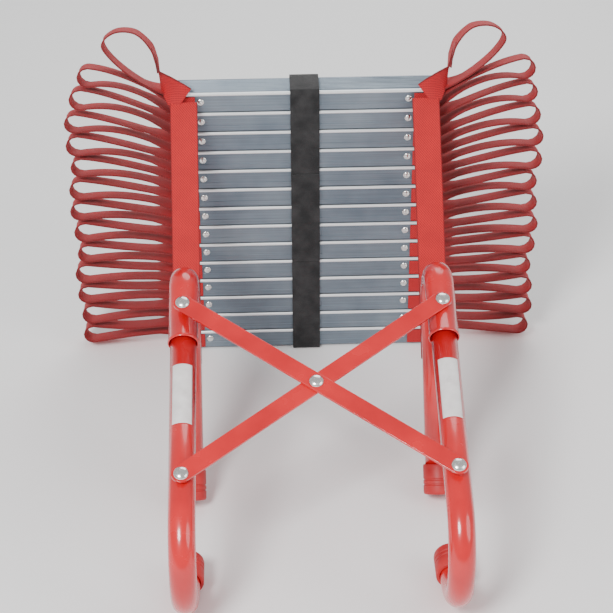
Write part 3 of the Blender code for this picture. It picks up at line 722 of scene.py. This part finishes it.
def arm_plate(name, layer, turn, body):
    half = (lower_rivet - upper_rivet).length ** 2 + (2 * hook_x) ** 2
    half = math.sqrt(half) / 2
    middle = (upper_rivet + lower_rivet) / 2
    up = -down_tube
    basis = Matrix((up.cross(out_of_tube), up, out_of_tube)).transposed().to_4x4()
    stand = Matrix.Translation(middle + out_of_tube * layer) @ basis @ Matrix.Rotation(turn, 4, "Z")
    work = bmesh.new()
    rims = []
    outline = []
    for centre, start in ((half, -math.pi / 2), (-half, math.pi / 2)):
        outline += [(centre + arm_end_radius * math.cos(start + math.pi * step / 20),
                     arm_end_radius * math.sin(start + math.pi * step / 20)) for step in range(21)]
    rings = [outline] + [[(x + arm_hole_radius * math.cos(math.tau * step / 24),
                           arm_hole_radius * math.sin(math.tau * step / 24))
                          for step in range(24)] for x in (-half, 0.0, half)]
    for ring in rings:
        corners = [work.verts.new(stand @ Vector((x, y, 0.0))) for x, y in ring]
        rims += [work.edges.new(pair) for pair in zip(corners, corners[1:] + corners[:1])]
    bmesh.ops.triangle_fill(work, edges=rims, use_beauty=True)
    drawn = bmesh.ops.extrude_face_region(work, geom=list(work.faces), use_keep_orig=True)
    bmesh.ops.translate(work, vec=out_of_tube * arm_thickness,
                        verts=[item for item in drawn["geom"] if isinstance(item, bmesh.types.BMVert)])
    bmesh.ops.recalc_face_normals(work, faces=work.faces)
    arm = place_mesh(name + "_plate", work, enamel, body, [name], 35.0)
    broken = arm.modifiers.new("broken_edges", "BEVEL")
    broken.width = 0.0005
    broken.segments = 3
    broken.limit_method = "ANGLE"
    broken.angle_limit = math.radians(60)


brace_angle = math.atan2((lower_rivet - upper_rivet).length, 2 * hook_x)
arm_plate("brace_arm_a", arm_a_under, brace_angle, "brace_arm_a")
arm_plate("brace_arm_b", arm_b_under, -brace_angle, "brace_arm_b")


# Brace rivets: bright zinced shoulder rivets with domed heads, which leave the arms free to turn.
# The strap rivets on the backs of the struts are as wide but flatter, in the same bright zinc.
def rivet_profile(foot, under, over):
    """Heights are above the tubes' centre lines: the rivet's foot, the arm's underside and its face."""
    head = over + 0.0003
    dome = [(0.0, 0.0036), (0.0020, 0.0035), (0.0040, 0.00315), (0.0056, 0.0025), (0.0069, 0.0016),
            (0.0076, 0.0008), (0.0078, 0.0003), (0.0077, 0.0)]
    profile = [(radius, head + lift) for radius, lift in dome] + [(0.0034, head)]
    if under is not None:
        profile += [(0.0034, under - 0.0003), (0.0059, under - 0.0003), (0.0062, under - 0.0006),
                    (0.0062, foot)]
    else:
        profile.append((0.0034, foot))
    return profile + [(0.0, foot)]


arm_a_face, arm_b_face = arm_a_under + arm_thickness, arm_b_under + arm_thickness
on_sleeve, on_inner = sleeve_radius + 0.0003, inner_radius + 0.0003
brace_middle = (upper_rivet + lower_rivet) / 2
for name, place, foot, under, over, body in (
        ("upper_left", sleeve_point(upper_rivet, -1), on_sleeve, arm_b_under, arm_b_face, stack),
        ("upper_right", sleeve_point(upper_rivet, 1), on_sleeve, None, arm_a_face, "right_hook"),
        ("lower_left", sleeve_point(lower_rivet, -1), on_inner, arm_a_under, arm_a_face, "left_inner_tube"),
        ("lower_right", sleeve_point(lower_rivet, 1), on_inner, arm_b_under, arm_b_face, "right_inner_tube"),
        ("middle", brace_middle, arm_a_under - 0.0022, arm_a_under, arm_b_face, "brace_arm_b")):
    turned_piece(f"brace_stud_{name}", rivet_profile(foot, under, over), place, out_of_tube, zinc, body,
                 [f"brace_rivet_{name}"], 32)
for word in ("left", "right"):
    frame["nodes"][f"strap_rivet_{word}"].material_slots[0].material = zinc


# Band: black hook-and-loop tape round the whole stack, its free end pressed down over itself in front.
# The tape runs under the last rung too, and its face is a mat of short loops.
def band_finish():
    made, tree, shader = finish_material("black_loop_tape", (0.012, 0.012, 0.013), 0.92, sheen=0.25)
    place = node(tree, "ShaderNodeTexCoord")
    pile = node(tree, "ShaderNodeTexVoronoi", Scale=900.0)
    tree.links.new(place.outputs["Object"], pile.inputs["Vector"])
    lint = node(tree, "ShaderNodeTexNoise", Scale=60.0, Detail=6.0)
    tree.links.new(place.outputs["Object"], lint.inputs["Vector"])
    colour = ramp(tree, lint.outputs["Fac"],
                  [(0.35, (0.008, 0.008, 0.009, 1)), (0.78, (0.032, 0.031, 0.032, 1))])
    tree.links.new(colour, shader.inputs["Base Color"])
    bump(tree, shader, pile.outputs["Distance"], 0.6, 0.0006)
    return made


tape = band_finish()
band_low, band_high = (Vector(corner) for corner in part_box("hook_and_loop_band"))
half_tape = 0.0011
front, back = band_low.y + half_tape, band_high.y - half_tape
bottom, top = band_low.z + half_tape, band_high.z - half_tape
corner_radius = 0.0026
ring = []
for y, z, start in ((front, top, math.pi), (back, top, math.pi / 2), (back, bottom, 0.0),
                    (front, bottom, -math.pi / 2)):
    middle_y = y + corner_radius if y == front else y - corner_radius
    middle_z = z - corner_radius if z == top else z + corner_radius
    for step in range(7):
        turn = start - math.pi / 2 * step / 6
        ring.append((middle_y + corner_radius * math.cos(turn), middle_z + corner_radius * math.sin(turn)))
stations = [(Vector((0.0, front, top - 0.16)), Vector((1.0, 0.0, 0.0)))]
stations += [(Vector((0.0, y, z)), Vector((1.0, 0.0, 0.0))) for y, z in ring]
stations += [(Vector((0.0, front, top - 0.1602)), Vector((1.0, 0.0, 0.0)))]
webbing("stack_band_tape", stations, tape, stack, ["hook_and_loop_band"], 0.034, 0.0, 0.0021)
stations = [(Vector((0.0, front - 0.0021, top - 0.11 - 0.010 * step)), Vector((1.0, 0.0, 0.0)))
            for step in range(13)]
webbing("stack_band_free_end", stations, tape, stack, (), 0.034, 0.0, 0.0018)
